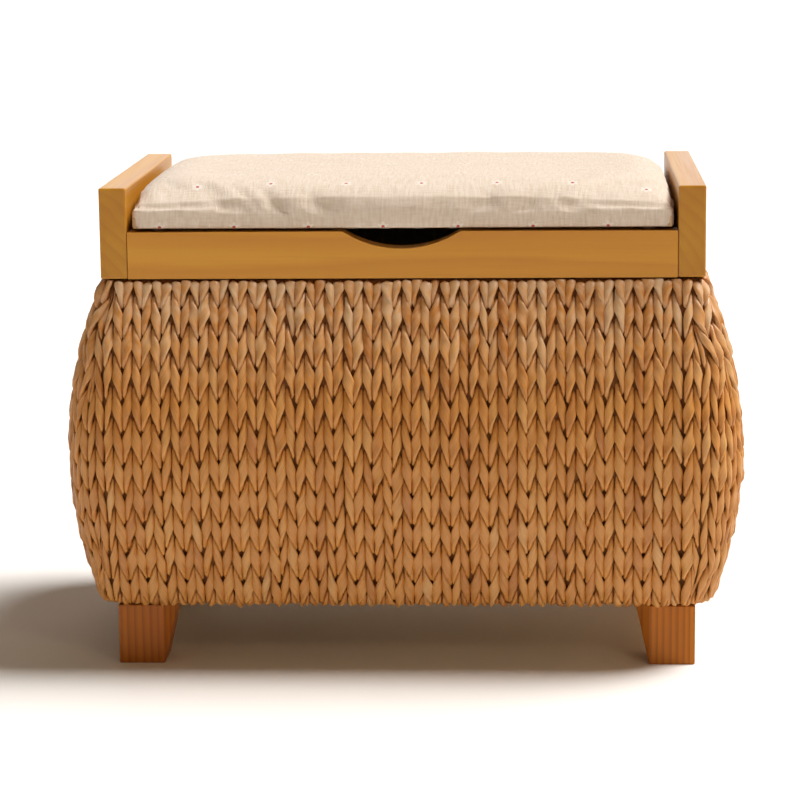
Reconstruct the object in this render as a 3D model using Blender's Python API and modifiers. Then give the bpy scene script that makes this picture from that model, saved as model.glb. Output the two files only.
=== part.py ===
"""Storage ottoman: a barrel-shaped woven body on four wooden legs, a pine top frame with raised
end boards, and a padded lid hinged at the back.  Metres, +Z up, front towards -Y."""

import math

import bmesh
import bpy
from mathutils import Matrix, Vector

# ---------------------------------------------------------------- overall sizes
FRAME_WIDTH = 0.530        # outer face to outer face of the two end boards
FRAME_DEPTH = 0.320        # front to back of the top frame
HEIGHT = 0.430             # floor to the top of the end boards
LEG_HEIGHT = 0.054         # floor to the rim of the woven body
BODY_BULGE = 0.0326        # how far the woven body swells past the frame at mid height
BODY_FLARE = 0.0070        # how far its lower rim stands out past the frame

# ---------------------------------------------------------------- top frame
BOARD_THICKNESS = 0.024    # end boards and aprons are cut from one stock
END_BOARD_HEIGHT = 0.080
APRON_HEIGHT = 0.041
NOTCH_WIDTH = 0.103        # finger notch in the top edge of the front apron
NOTCH_DEPTH = 0.0150
NOTCH_SHOULDER = 0.008     # radius that eases the notch into the top edge
EDGE_EASE = 0.0016         # sanded edges of the pine pieces

# ---------------------------------------------------------------- woven body and its wire frame
SHELL_WALL = 0.009
SHELL_RIM_ROUND = 0.0035
CORNER_RADIUS = 0.012      # corner radius of the body where it meets the frame
HOOP_WIRE = 0.0035         # diameter of the horizontal hoops
RIB_WIRE = 0.004           # diameter of the upright ribs
HOOP_COUNT = 4
HOOP_MARGIN = 0.020        # first and last hoop, in from the rims of the body
RIB_SPACING_FRONT = 0.150  # ribs on the long sides, centre to centre
RIB_SPACING_SIDE = 0.120   # ribs on the short sides, centre to centre
RIB_SOCKET_DEPTH = 0.012   # how far a rib is let into the top frame

# ---------------------------------------------------------------- base
RAIL_THICKNESS = 0.024
RAIL_HEIGHT = 0.030
FLOOR_THICKNESS = 0.006
LEG_TOP_SIZE = 0.053       # square at the top of a leg
LEG_FOOT_SIZE = 0.041      # square at the floor
LEG_ARRIS = 0.0405         # width of the plumb outer face at the top of a leg
LEG_FACET = 0.014          # depth of the tapering facet at the top of a leg
LEG_INSET = 0.0065         # outer faces of the legs, in from the frame faces
LEG_EASE = 0.0008
BOLT_SHANK_RADIUS = 0.0038
BOLT_HEAD_FLATS = 0.013
BOLT_HEAD_HEIGHT = 0.0052
BOLT_GRIP_IN_LEG = 0.036   # length of the bolt below the top of the leg

# ---------------------------------------------------------------- liner
LINER_THICKNESS = 0.0012
LINER_DROP = 0.019         # top hem of the liner, below the top of the aprons

# ---------------------------------------------------------------- lid
LID_SIDE_GAP = 0.002       # lid to end board, each side
LID_FRONT_SETBACK = 0.002
LID_REAR_SETBACK = 0.002
LID_BOARD_THICKNESS = 0.010
COVER_WALL = 0.003         # padded cover round the edge of the lid board
CUSHION_EDGE_HEIGHT = 0.0205   # underside of the lid board to the shoulder of the cushion
CUSHION_CROWN = 0.0160     # shoulder to the top of the crown
CUSHION_ROUND = 0.0075
LINING_THICKNESS = 0.0006
LINING_SIDE_MARGIN = 0.031
LINING_FRONT_MARGIN = 0.005
LINING_REAR_MARGIN = 0.025
BUMPER_RADIUS = 0.005
BUMPER_SIDE_MARGIN = 0.021
BUMPER_FRONT_MARGIN = 0.010

# ---------------------------------------------------------------- hinges
HINGE_SPACING = 0.300      # centre to centre
LEAF_THICKNESS = 0.0009
LEAF_WIDTH = 0.060
LEAF_DEPTH = 0.0225
KNUCKLE_RADIUS = 0.0029
KNUCKLE_MIDDLE = 0.020     # length of the moving knuckle
PIN_RADIUS = 0.0015
PIN_CLEARANCE = 0.00008
PIN_HEAD_RADIUS = 0.0026
PIN_HEAD_LENGTH = 0.0008
SCREW_SPACING = 0.036
SCREW_SETBACK = 0.015      # screws in from the rear face of the frame
SCREW_HEAD_RADIUS = 0.0030
SCREW_HEAD_HEIGHT = 0.0016
SCREW_SHANK_RADIUS = 0.0015
SCREW_LENGTH = 0.0085

GAP = 0.0003               # clearance between pieces that touch

# ---------------------------------------------------------------- derived positions
BODY_BOTTOM = LEG_HEIGHT
BODY_TOP = HEIGHT - END_BOARD_HEIGHT
APRON_TOP = BODY_TOP + APRON_HEIGHT
HALF_W = FRAME_WIDTH / 2
HALF_D = FRAME_DEPTH / 2
APRON_LENGTH = FRAME_WIDTH - 2 * BOARD_THICKNESS - 2 * GAP
LID_GAP = 2 * LEAF_THICKNESS + 3 * GAP
LID_BOTTOM = APRON_TOP + LID_GAP
LID_HALF_W = HALF_W - BOARD_THICKNESS - LID_SIDE_GAP
LID_FRONT = -HALF_D + LID_FRONT_SETBACK
LID_REAR = HALF_D - LID_REAR_SETBACK
AXIS_Y = HALF_D + KNUCKLE_RADIUS + GAP
AXIS_Z = APRON_TOP + LID_GAP / 2
RAIL_BOTTOM = LEG_HEIGHT + GAP
FLOOR_BOTTOM = RAIL_BOTTOM + RAIL_HEIGHT + GAP
LINER_BOTTOM = FLOOR_BOTTOM + FLOOR_THICKNESS + GAP
HOOP_OFFSET = SHELL_WALL + GAP + HOOP_WIRE / 2
RIB_OFFSET = SHELL_WALL + 2 * GAP + HOOP_WIRE + RIB_WIRE / 2

PINE = (0.72, 0.42, 0.15)
STAINED_WOOD = (0.30, 0.09, 0.03)
PLYWOOD = (0.66, 0.47, 0.27)
WEAVE = (0.58, 0.32, 0.12)
LINEN = (0.86, 0.80, 0.68)
LINER_CLOTH = (0.80, 0.75, 0.64)
ZINC = (0.62, 0.60, 0.56)
WIRE = (0.10, 0.10, 0.11)
RUBBER = (0.55, 0.50, 0.42)


# ---------------------------------------------------------------- scene and small tools
def clear_scene():
    for obj in list(bpy.data.objects):
        bpy.data.objects.remove(obj, do_unlink=True)


def new_collection(name):
    coll = bpy.data.collections.new(name)
    bpy.context.scene.collection.children.link(coll)
    return coll


clear_scene()
PARTS = new_collection("storage_ottoman")
CUTTERS = new_collection("cutters")

LID_AXIS = bpy.data.objects.new("lid_axis", None)
LID_AXIS.location = (0, AXIS_Y, AXIS_Z)
PARTS.objects.link(LID_AXIS)
bpy.context.view_layer.update()


def hang_on_lid(obj):
    """Parent a piece of the lid to the empty on the hinge axis, where it stands."""
    obj.parent = LID_AXIS
    obj.matrix_parent_inverse = LID_AXIS.matrix_world.inverted()
    return obj


def paint(obj, colour, roughness, metallic=0.0):
    """Give an object a Principled material of its own."""
    mat = bpy.data.materials.new(obj.name)
    mat.use_nodes = True
    bsdf = mat.node_tree.nodes["Principled BSDF"]
    bsdf.inputs["Base Color"].default_value = (*colour, 1.0)
    bsdf.inputs["Roughness"].default_value = roughness
    bsdf.inputs["Metallic"].default_value = metallic
    obj.data.materials.clear()
    obj.data.materials.append(mat)
    return obj


def mesh_object(name, bm, collection=None):
    mesh = bpy.data.meshes.new(name)
    bmesh.ops.recalc_face_normals(bm, faces=bm.faces)
    bm.to_mesh(mesh)
    bm.free()
    obj = bpy.data.objects.new(name, mesh)
    (collection or PARTS).objects.link(obj)
    return obj


def box(name, low, high, collection=None):
    """A box between two corners."""
    low, high = Vector(low), Vector(high)
    size = high - low
    place = Matrix.Translation((low + high) / 2) @ Matrix.Diagonal((*size, 1.0))
    bm = bmesh.new()
    bmesh.ops.create_cube(bm, size=1.0, matrix=place)
    return mesh_object(name, bm, collection)


def rod(name, start, end, radius, sides=16, radius_end=None, collection=None):
    """A straight round bar, or a cone frustum, between two points."""
    start, end = Vector(start), Vector(end)
    span = end - start
    turn = Vector((0, 0, 1)).rotation_difference(span.normalized()).to_matrix().to_4x4()
    place = Matrix.Translation((start + end) / 2) @ turn
    bm = bmesh.new()
    bmesh.ops.create_cone(bm, cap_ends=True, segments=sides, radius1=radius,
                          radius2=radius if radius_end is None else radius_end,
                          depth=span.length, matrix=place)
    return mesh_object(name, bm, collection)


def ease(obj, width, segments=1, angle=40.0):
    """Take the sharp edges off a piece."""
    mod = obj.modifiers.new("eased_edges", "BEVEL")
    mod.width = width
    mod.segments = segments
    mod.limit_method = "ANGLE"
    mod.angle_limit = math.radians(angle)
    mod.use_clamp_overlap = True
    return obj


def boolean(obj, other, operation):
    mod = obj.modifiers.new(operation.lower() + "_" + other.name, "BOOLEAN")
    mod.operation = operation
    mod.solver = "EXACT"
    mod.object = other
    other.hide_render = True
    other.display_type = "WIRE"
    return obj


def drill(obj, start, end, radius, sides=16):
    """Cut a round hole between two points."""
    count = len(obj.modifiers)
    cutter = rod(f"{obj.name}_drill_{count}", start, end, radius, sides, collection=CUTTERS)
    return boolean(obj, cutter, "DIFFERENCE")


def join(obj, other):
    """Fuse a helper solid into a piece."""
    return boolean(obj, other, "UNION")


def smooth(obj, angle=35.0):
    """Smooth shading, with edges sharper than the angle left crisp."""
    mesh = obj.data
    mesh.shade_smooth()
    mesh.set_sharp_from_angle(angle=math.radians(angle))
    return obj


# ---------------------------------------------------------------- the shape of the woven body
def bulge_at(z):
    """How far the body stands out past the frame at a height."""
    middle = (BODY_BOTTOM + BODY_TOP) / 2
    t = (z - middle) / ((BODY_TOP - BODY_BOTTOM) / 2)
    return BODY_BULGE * (1 - t * t) + BODY_FLARE * ((1 - t) / 2) ** 2


def lean_at(z):
    """Cosine of the wall's lean from upright at a height."""
    middle = (BODY_BOTTOM + BODY_TOP) / 2
    half = (BODY_TOP - BODY_BOTTOM) / 2
    t = (z - middle) / half
    slope = -(2 * BODY_BULGE * t + BODY_FLARE * (1 - t) / 2) / half
    return 1 / math.hypot(1.0, slope)


def inside_offset(z, depth):
    """Offset from the frame's outline to a point that lies depth inside the body's skin."""
    return bulge_at(z) - depth / lean_at(z)


def outline(offset, corner_steps=6):
    """Corner-rounded rectangle round the frame's outline, grown by offset."""
    radius = max(CORNER_RADIUS + offset, 0.006)
    cx = HALF_W + offset - radius
    cy = HALF_D + offset - radius
    points = []
    for quarter, (sx, sy) in enumerate(((1, 1), (-1, 1), (-1, -1), (1, -1))):
        for step in range(corner_steps + 1):
            angle = math.radians(90 * quarter + 90 * step / corner_steps)
            points.append((sx * cx + radius * math.cos(angle), sy * cy + radius * math.sin(angle)))
    return points


def make_woven_shell():
    """Open barrel: a box without ends, rounded at its four corners, swollen and thickened."""
    height = BODY_TOP - GAP - BODY_BOTTOM
    place = Matrix.Translation((0, 0, BODY_BOTTOM + height / 2))
    place = place @ Matrix.Diagonal((FRAME_WIDTH, FRAME_DEPTH, height, 1.0))
    bm = bmesh.new()
    bmesh.ops.create_cube(bm, size=1.0, matrix=place)
    ends = [f for f in bm.faces if abs(f.normal.z) > 0.5]
    bmesh.ops.delete(bm, geom=ends, context="FACES_ONLY")
    uprights = [e for e in bm.edges if abs(e.verts[0].co.z - e.verts[1].co.z) > height / 2]
    bmesh.ops.bevel(bm, geom=uprights, offset=CORNER_RADIUS, segments=6, profile=0.5,
                    affect="EDGES")
    levels = 16
    for level in range(1, levels):
        z = BODY_BOTTOM + height * level / levels
        geom = bm.verts[:] + bm.edges[:] + bm.faces[:]
        bmesh.ops.bisect_plane(bm, geom=geom, dist=1e-6, plane_co=(0, 0, z), plane_no=(0, 0, 1))
    core = Vector((HALF_W - CORNER_RADIUS, HALF_D - CORNER_RADIUS))
    for vert in bm.verts:
        near = Vector((max(-core.x, min(core.x, vert.co.x)), max(-core.y, min(core.y, vert.co.y))))
        outward = (vert.co.xy - near).normalized() * bulge_at(vert.co.z)
        vert.co.x += outward.x
        vert.co.y += outward.y
    shell = mesh_object("woven_shell", bm)
    wall = shell.modifiers.new("wall", "SOLIDIFY")
    wall.thickness = SHELL_WALL
    wall.offset = -1.0
    wall.use_even_offset = True
    ease(shell, SHELL_RIM_ROUND, 2, 50.0)
    return paint(smooth(shell), WEAVE, 0.7)


def round_wire(name, points, diameter, cyclic=False):
    """A round wire bent along a path of points."""
    curve = bpy.data.curves.new(name, "CURVE")
    curve.dimensions = "3D"
    curve.bevel_depth = diameter / 2
    curve.bevel_resolution = 2
    curve.use_fill_caps = not cyclic
    spline = curve.splines.new("POLY")
    spline.points.add(len(points) - 1)
    for point, co in zip(spline.points, points):
        point.co = (*co, 1.0)
    spline.use_cyclic_u = cyclic
    wire = bpy.data.objects.new(name, curve)
    PARTS.objects.link(wire)
    weld = wire.modifiers.new("closed_caps", "WELD")
    weld.merge_threshold = 0.00005
    return paint(wire, WIRE, 0.45, 1.0)


def make_hoops():
    spacing = (BODY_TOP - BODY_BOTTOM - 2 * HOOP_MARGIN) / (HOOP_COUNT - 1)
    for number in range(HOOP_COUNT):
        z = BODY_BOTTOM + HOOP_MARGIN + number * spacing
        ring = outline(inside_offset(z, HOOP_OFFSET))
        round_wire(f"wire_hoop_{number + 1}", [(x, y, z) for x, y in ring], HOOP_WIRE, cyclic=True)


def rib_places():
    """Name, outward direction and sideways place of every rib."""
    for side, out in (("front", (0, -1)), ("rear", (0, 1))):
        for number, step in enumerate((-1, 0, 1), start=1):
            yield f"wire_rib_{side}_{number}", out, step * RIB_SPACING_FRONT
    for side, out in (("left", (-1, 0)), ("right", (1, 0))):
        for number, step in enumerate((-0.5, 0.5), start=1):
            yield f"wire_rib_{side}_{number}", out, step * RIB_SPACING_SIDE


def rib_point(out, along, z):
    """A point on a rib's centre line; above the body the rib stands upright in its socket."""
    bend = BODY_TOP - 0.0015
    offset = inside_offset(min(z, bend), RIB_OFFSET)
    if out[0]:
        return (out[0] * (HALF_W + offset), along, z)
    return (along, out[1] * (HALF_D + offset), z)


def make_ribs():
    foot = BODY_BOTTOM + 0.002
    bend = BODY_TOP - 0.0015
    tip = BODY_TOP + RIB_SOCKET_DEPTH - GAP
    heights = [foot + (bend - foot) * step / 10 for step in range(11)] + [tip]
    for name, out, along in rib_places():
        round_wire(name, [rib_point(out, along, z) for z in heights], RIB_WIRE)


# ---------------------------------------------------------------- pine top frame
def drill_rib_sockets(board, side):
    for name, out, along in rib_places():
        if side in name:
            x, y, _ = rib_point(out, along, BODY_TOP)
            drill(board, (x, y, BODY_TOP - 0.002), (x, y, BODY_TOP + RIB_SOCKET_DEPTH),
                  RIB_WIRE / 2 + GAP, 12)


def make_end_boards():
    for side, sign in (("left", -1), ("right", 1)):
        outer = sign * HALF_W
        inner = sign * (HALF_W - BOARD_THICKNESS)
        low = (min(outer, inner), -HALF_D, BODY_TOP)
        high = (max(outer, inner), HALF_D, HEIGHT)
        board = ease(box(f"end_board_{side}", low, high), EDGE_EASE, 2)
        drill_rib_sockets(board, side)
        paint(board, PINE, 0.5)


def notch_outline():
    """Left half of the finger notch: a shoulder arc, then the long arc down to its lowest point."""
    radius = NOTCH_SHOULDER
    sweep = ((NOTCH_WIDTH / 2) ** 2 + NOTCH_DEPTH ** 2) / (2 * NOTCH_DEPTH)
    centre_z = sweep - NOTCH_DEPTH
    start_x = math.sqrt((sweep + radius) ** 2 - (centre_z + radius) ** 2)
    meet = math.atan2(start_x, centre_z + radius)
    points = []
    for step in range(4):
        turn = meet * step / 4
        points.append((radius * math.sin(turn) - start_x, radius * math.cos(turn) - radius))
    for step in range(13):
        turn = meet * (1 - step / 12)
        points.append((-sweep * math.sin(turn), centre_z - sweep * math.cos(turn)))
    return points


def make_front_apron():
    """Flat board outline with the finger notch, given its thickness and stood upright."""
    half = APRON_LENGTH / 2
    left = notch_outline()
    right = [(-x, z) for x, z in reversed(left[:-1])]
    corners = [(half, 0.0), (half, -APRON_HEIGHT), (-half, -APRON_HEIGHT), (-half, 0.0)]
    points = left + right + corners
    curve = bpy.data.curves.new("front_apron", "CURVE")
    curve.dimensions = "2D"
    curve.fill_mode = "BOTH"
    curve.extrude = BOARD_THICKNESS / 2
    spline = curve.splines.new("POLY")
    spline.points.add(len(points) - 1)
    for point, (x, z) in zip(spline.points, points):
        point.co = (x, z, 0.0, 1.0)
    spline.use_cyclic_u = True
    flat = bpy.data.objects.new("front_apron_outline", curve)
    PARTS.objects.link(flat)
    flat.location = (0, -HALF_D + BOARD_THICKNESS / 2, APRON_TOP)
    flat.rotation_euler = (math.radians(90), 0, 0)
    apron = to_mesh(flat, "front_apron")
    ease(apron, EDGE_EASE, 2, 50.0)
    drill_rib_sockets(apron, "front")
    return paint(apron, PINE, 0.5)


def to_mesh(obj, name):
    """Turn a curve object into a mesh object in world space, with its seams merged."""
    bpy.context.view_layer.update()
    evaluated = obj.evaluated_get(bpy.context.evaluated_depsgraph_get())
    bm = bmesh.new()
    mesh = bpy.data.meshes.new_from_object(evaluated)
    bm.from_mesh(mesh)
    bmesh.ops.remove_doubles(bm, verts=bm.verts, dist=0.00005)
    bmesh.ops.transform(bm, matrix=obj.matrix_world, verts=bm.verts)
    bpy.data.objects.remove(obj, do_unlink=True)
    return mesh_object(name, bm)


def make_rear_apron():
    low = (-APRON_LENGTH / 2, HALF_D - BOARD_THICKNESS, BODY_TOP)
    high = (APRON_LENGTH / 2, HALF_D, APRON_TOP)
    apron = ease(box("rear_apron", low, high), EDGE_EASE, 2)
    drill_rib_sockets(apron, "rear")
    for x in screw_places():
        drill_for_screw(apron, x, APRON_TOP, -1)
    return paint(apron, PINE, 0.5)


# ---------------------------------------------------------------- legs, base rails and floor
def leg_centre(sx, sy):
    """Centre line of a leg bolt: over the middle of the front or rear rail."""
    x = HALF_W - LEG_INSET - LEG_TOP_SIZE / 2
    y = rail_half_depth() - RAIL_THICKNESS / 2
    return sx * x, sy * y


def rail_half_width():
    return HALF_W + inside_offset(BODY_BOTTOM + 0.002, RIB_OFFSET + RIB_WIRE / 2 + GAP)


def rail_half_depth():
    return HALF_D + inside_offset(BODY_BOTTOM + 0.002, RIB_OFFSET + RIB_WIRE / 2 + GAP)


def slice_off(bm, point, normal):
    """Cut away what lies beyond a plane and close the cut."""
    geom = bm.verts[:] + bm.edges[:] + bm.faces[:]
    cut = bmesh.ops.bisect_plane(bm, geom=geom, dist=1e-7, plane_co=point, plane_no=normal,
                                 clear_outer=True)
    rim = [e for e in cut["geom_cut"] if isinstance(e, bmesh.types.BMEdge)]
    bmesh.ops.contextual_create(bm, geom=rim)


def make_leg(name, sx, sy):
    """Square block: plumb outer faces, inner cheeks flaring upwards, one facet at each arris."""
    top, foot = LEG_TOP_SIZE, LEG_FOOT_SIZE
    height = LEG_HEIGHT
    bm = bmesh.new()
    place = Matrix.Translation((top / 2, top / 2, height / 2))
    bmesh.ops.create_cube(bm, size=1.0, matrix=place @ Matrix.Diagonal((top, top, height, 1.0)))
    slice_off(bm, (foot, 0, 0), Vector((height, 0, foot - top)))
    slice_off(bm, (0, foot, 0), Vector((0, height, foot - top)))
    toe = Vector((foot, 0, 0))
    front = Vector((top, LEG_FACET, height))
    arris = Vector((LEG_ARRIS, 0, height))
    normal = (front - toe).cross(arris - toe)
    normal = -normal if normal.x < 0 else normal
    slice_off(bm, toe, normal)
    slice_off(bm, (0, foot, 0), Vector((normal.y, normal.x, normal.z)))
    corner = Vector((sx * (HALF_W - LEG_INSET), sy * (HALF_D - LEG_INSET), 0))
    place = Matrix.Translation(corner) @ Matrix.Diagonal((-sx, -sy, 1.0, 1.0))
    bmesh.ops.transform(bm, matrix=place, verts=bm.verts)
    leg = ease(mesh_object(name, bm), LEG_EASE, 1, 35.0)
    x, y = leg_centre(sx, sy)
    drill(leg, (x, y, height - BOLT_GRIP_IN_LEG - 2 * GAP), (x, y, height + 0.002),
          BOLT_SHANK_RADIUS + GAP)
    return paint(leg, STAINED_WOOD, 0.4)


def bolt_head_z():
    return RAIL_BOTTOM + RAIL_HEIGHT - BOLT_HEAD_HEIGHT - 2 * GAP


def make_leg_bolt(name, sx, sy):
    x, y = leg_centre(sx, sy)
    z = bolt_head_z()
    bolt = rod(name, (x, y, LEG_HEIGHT - BOLT_GRIP_IN_LEG), (x, y, z + 0.002), BOLT_SHANK_RADIUS)
    head = rod(name + "_head", (x, y, z), (x, y, z + BOLT_HEAD_HEIGHT),
               BOLT_HEAD_FLATS / 2 / math.cos(math.pi / 6), 6, collection=CUTTERS)
    join(bolt, head)
    return paint(bolt, ZINC, 0.35, 1.0)


def make_base():
    """Rail frame inside the rim of the body, the storage floor on it, and the legs under it."""
    half_w, half_d = rail_half_width(), rail_half_depth()
    z0, z1 = RAIL_BOTTOM, RAIL_BOTTOM + RAIL_HEIGHT
    for side, sy in (("front", -1), ("rear", 1)):
        outer, inner = sy * half_d, sy * (half_d - RAIL_THICKNESS)
        rail = ease(box(f"base_rail_{side}", (-half_w, min(outer, inner), z0),
                        (half_w, max(outer, inner), z1)), 0.001)
        for sx in (-1, 1):
            x, y = leg_centre(sx, sy)
            drill(rail, (x, y, z0 - 0.002), (x, y, z1 + 0.002), BOLT_SHANK_RADIUS + GAP)
            drill(rail, (x, y, bolt_head_z() - GAP), (x, y, z1 + 0.002), BOLT_HEAD_FLATS * 0.64)
        paint(rail, PINE, 0.6)
    for side, sx in (("left", -1), ("right", 1)):
        outer, inner = sx * half_w, sx * (half_w - RAIL_THICKNESS)
        reach = half_d - RAIL_THICKNESS - GAP
        rail = ease(box(f"base_rail_{side}", (min(outer, inner), -reach, z0),
                        (max(outer, inner), reach, z1)), 0.001)
        paint(rail, PINE, 0.6)
    floor = box("storage_floor", (-half_w, -half_d, FLOOR_BOTTOM),
                (half_w, half_d, FLOOR_BOTTOM + FLOOR_THICKNESS))
    paint(ease(floor, 0.0008), PLYWOOD, 0.6)
    for front, sy in (("front", -1), ("rear", 1)):
        for side, sx in (("left", -1), ("right", 1)):
            make_leg(f"leg_{front}_{side}", sx, sy)
            make_leg_bolt(f"leg_bolt_{front}_{side}", sx, sy)


# ---------------------------------------------------------------- cloth liner of the storage box
def make_liner():
    """Cloth box without a lid, standing on the storage floor inside the ribs."""
    half_w = HALF_W - BOARD_THICKNESS - GAP
    half_d = HALF_D - BOARD_THICKNESS - GAP
    top = APRON_TOP - LINER_DROP
    size = (2 * half_w, 2 * half_d, top - LINER_BOTTOM, 1.0)
    place = Matrix.Translation((0, 0, (LINER_BOTTOM + top) / 2)) @ Matrix.Diagonal(size)
    bm = bmesh.new()
    bmesh.ops.create_cube(bm, size=1.0, matrix=place)
    bmesh.ops.delete(bm, geom=[f for f in bm.faces if f.normal.z > 0.5], context="FACES_ONLY")
    liner = mesh_object("fabric_liner", bm)
    cloth = liner.modifiers.new("cloth", "SOLIDIFY")
    cloth.thickness = LINER_THICKNESS
    cloth.offset = -1.0
    cloth.use_even_offset = True
    return paint(liner, LINER_CLOTH, 0.9)


# ---------------------------------------------------------------- lid
def make_lid_board():
    inset = COVER_WALL
    low = (-LID_HALF_W + inset, LID_FRONT + inset, LID_BOTTOM)
    high = (LID_HALF_W - inset, LID_REAR - inset, LID_BOTTOM + LID_BOARD_THICKNESS)
    board = ease(box("lid_board", low, high), 0.0008)
    for x in screw_places():
        drill_for_screw(board, x, LID_BOTTOM, 1)
    return hang_on_lid(paint(board, PLYWOOD, 0.6))


def make_cushion():
    """Crowned pad that wraps the edges of the lid board, open underneath to receive it."""
    bottom = LID_BOTTOM + GAP
    shoulder = LID_BOTTOM + CUSHION_EDGE_HEIGHT
    mid_y = (LID_FRONT + LID_REAR) / 2
    half_d = (LID_REAR - LID_FRONT) / 2
    place = Matrix.Translation((0, mid_y, (bottom + shoulder) / 2))
    place = place @ Matrix.Diagonal((2 * LID_HALF_W, 2 * half_d, shoulder - bottom, 1.0))
    bm = bmesh.new()
    bmesh.ops.create_cube(bm, size=1.0, matrix=place)
    for axis, half, centre, cuts in ((0, LID_HALF_W, 0.0, 12), (1, half_d, mid_y, 8)):
        for step in range(1, cuts):
            point, normal = Vector(), Vector()
            point[axis] = centre + half * math.sin(math.pi * (step / cuts - 0.5))
            normal[axis] = 1.0
            geom = bm.verts[:] + bm.edges[:] + bm.faces[:]
            bmesh.ops.bisect_plane(bm, geom=geom, dist=1e-6, plane_co=point, plane_no=normal)
    for vert in bm.verts:
        if vert.co.z > shoulder - 1e-6:
            u = abs(vert.co.x) / LID_HALF_W
            v = abs(vert.co.y - mid_y) / half_d
            vert.co.z += CUSHION_CROWN * (1 - u ** 4) * (1 - v ** 2.4)
    cushion = mesh_object("seat_cushion", bm)
    ease(cushion, CUSHION_ROUND, 3, 60.0)
    slack = COVER_WALL - GAP
    pocket = box("lid_pocket", (-LID_HALF_W + slack, LID_FRONT + slack, bottom - 0.01),
                 (LID_HALF_W - slack, LID_REAR - slack, LID_BOTTOM + LID_BOARD_THICKNESS + GAP),
                 CUTTERS)
    boolean(cushion, pocket, "DIFFERENCE")
    return hang_on_lid(paint(smooth(cushion), LINEN, 0.9))


def make_lid_lining():
    top = LID_BOTTOM - GAP
    low = (-LID_HALF_W + COVER_WALL + LINING_SIDE_MARGIN, LID_FRONT + COVER_WALL + LINING_FRONT_MARGIN,
           top - LINING_THICKNESS)
    high = (LID_HALF_W - COVER_WALL - LINING_SIDE_MARGIN, LID_REAR - COVER_WALL - LINING_REAR_MARGIN,
            top)
    return hang_on_lid(paint(box("lid_lining", low, high), LINEN, 0.9))


def make_bumpers():
    for side, sx in (("left", -1), ("right", 1)):
        x = sx * (LID_HALF_W - COVER_WALL - BUMPER_SIDE_MARGIN)
        y = LID_FRONT + COVER_WALL + BUMPER_FRONT_MARGIN
        pad = rod(f"lid_bumper_{side}", (x, y, APRON_TOP + GAP), (x, y, LID_BOTTOM - GAP),
                  BUMPER_RADIUS, 24)
        hang_on_lid(paint(smooth(pad), RUBBER, 0.8))


# ---------------------------------------------------------------- butt hinges
def screw_places():
    for side in (-1, 1):
        for step in (-0.5, 0.5):
            yield side * HINGE_SPACING / 2 + step * SCREW_SPACING


def drill_for_screw(board, x, face_z, into):
    """Pilot hole and head recess for one screw going into a board face (into is +1 or -1)."""
    y = HALF_D - SCREW_SETBACK
    drill(board, (x, y, face_z - into * 0.002), (x, y, face_z + into * (SCREW_LENGTH + 2 * GAP)),
          SCREW_SHANK_RADIUS + GAP, 12)
    drill(board, (x, y, face_z - into * 0.002), (x, y, face_z + into * 0.0012),
          SCREW_HEAD_RADIUS + GAP, 12)


def make_leaf(name, centre, low_z, segments):
    """Flat plate with its share of the knuckle; segments are x spans of the knuckle."""
    high_z = low_z + LEAF_THICKNESS
    leaf = box(name, (centre - LEAF_WIDTH / 2, HALF_D - LEAF_DEPTH, low_z),
               (centre + LEAF_WIDTH / 2, HALF_D, high_z))
    for number, (x0, x1) in enumerate(segments):
        tab = box(f"{name}_tab_{number}", (centre + x0, HALF_D - 0.001, low_z),
                  (centre + x1, AXIS_Y, high_z), CUTTERS)
        join(leaf, tab)
        knuckle = rod(f"{name}_knuckle_{number}", (centre + x0, AXIS_Y, AXIS_Z),
                      (centre + x1, AXIS_Y, AXIS_Z), KNUCKLE_RADIUS, 24, collection=CUTTERS)
        join(leaf, knuckle)
    reach = LEAF_WIDTH / 2 + 0.002
    drill(leaf, (centre - reach, AXIS_Y, AXIS_Z), (centre + reach, AXIS_Y, AXIS_Z),
          PIN_RADIUS + PIN_CLEARANCE, 24)
    for step in (-0.5, 0.5):
        x = centre + step * SCREW_SPACING
        y = HALF_D - SCREW_SETBACK
        drill(leaf, (x, y, low_z - 0.001), (x, y, high_z + 0.001), SCREW_HEAD_RADIUS + GAP, 16)
    return paint(leaf, ZINC, 0.3, 1.0)


def make_screw(name, x, head_z, into):
    """Countersunk screw whose flat head lies at head_z; it runs up or down by into."""
    y = HALF_D - SCREW_SETBACK
    neck = head_z + into * SCREW_HEAD_HEIGHT
    screw = rod(name, (x, y, head_z + into * 0.0005), (x, y, head_z + into * SCREW_LENGTH),
                SCREW_SHANK_RADIUS, 12)
    head = rod(name + "_head", (x, y, head_z), (x, y, neck), SCREW_HEAD_RADIUS, 16,
               SCREW_SHANK_RADIUS * 0.9, CUTTERS)
    join(screw, head)
    slot = box(name + "_slot", (x - SCREW_HEAD_RADIUS * 1.2, y - 0.0003, head_z - 0.0005),
               (x + SCREW_HEAD_RADIUS * 1.2, y + 0.0003, head_z + 0.0005), CUTTERS)
    boolean(screw, slot, "DIFFERENCE")
    return paint(screw, ZINC, 0.3, 1.0)


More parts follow.
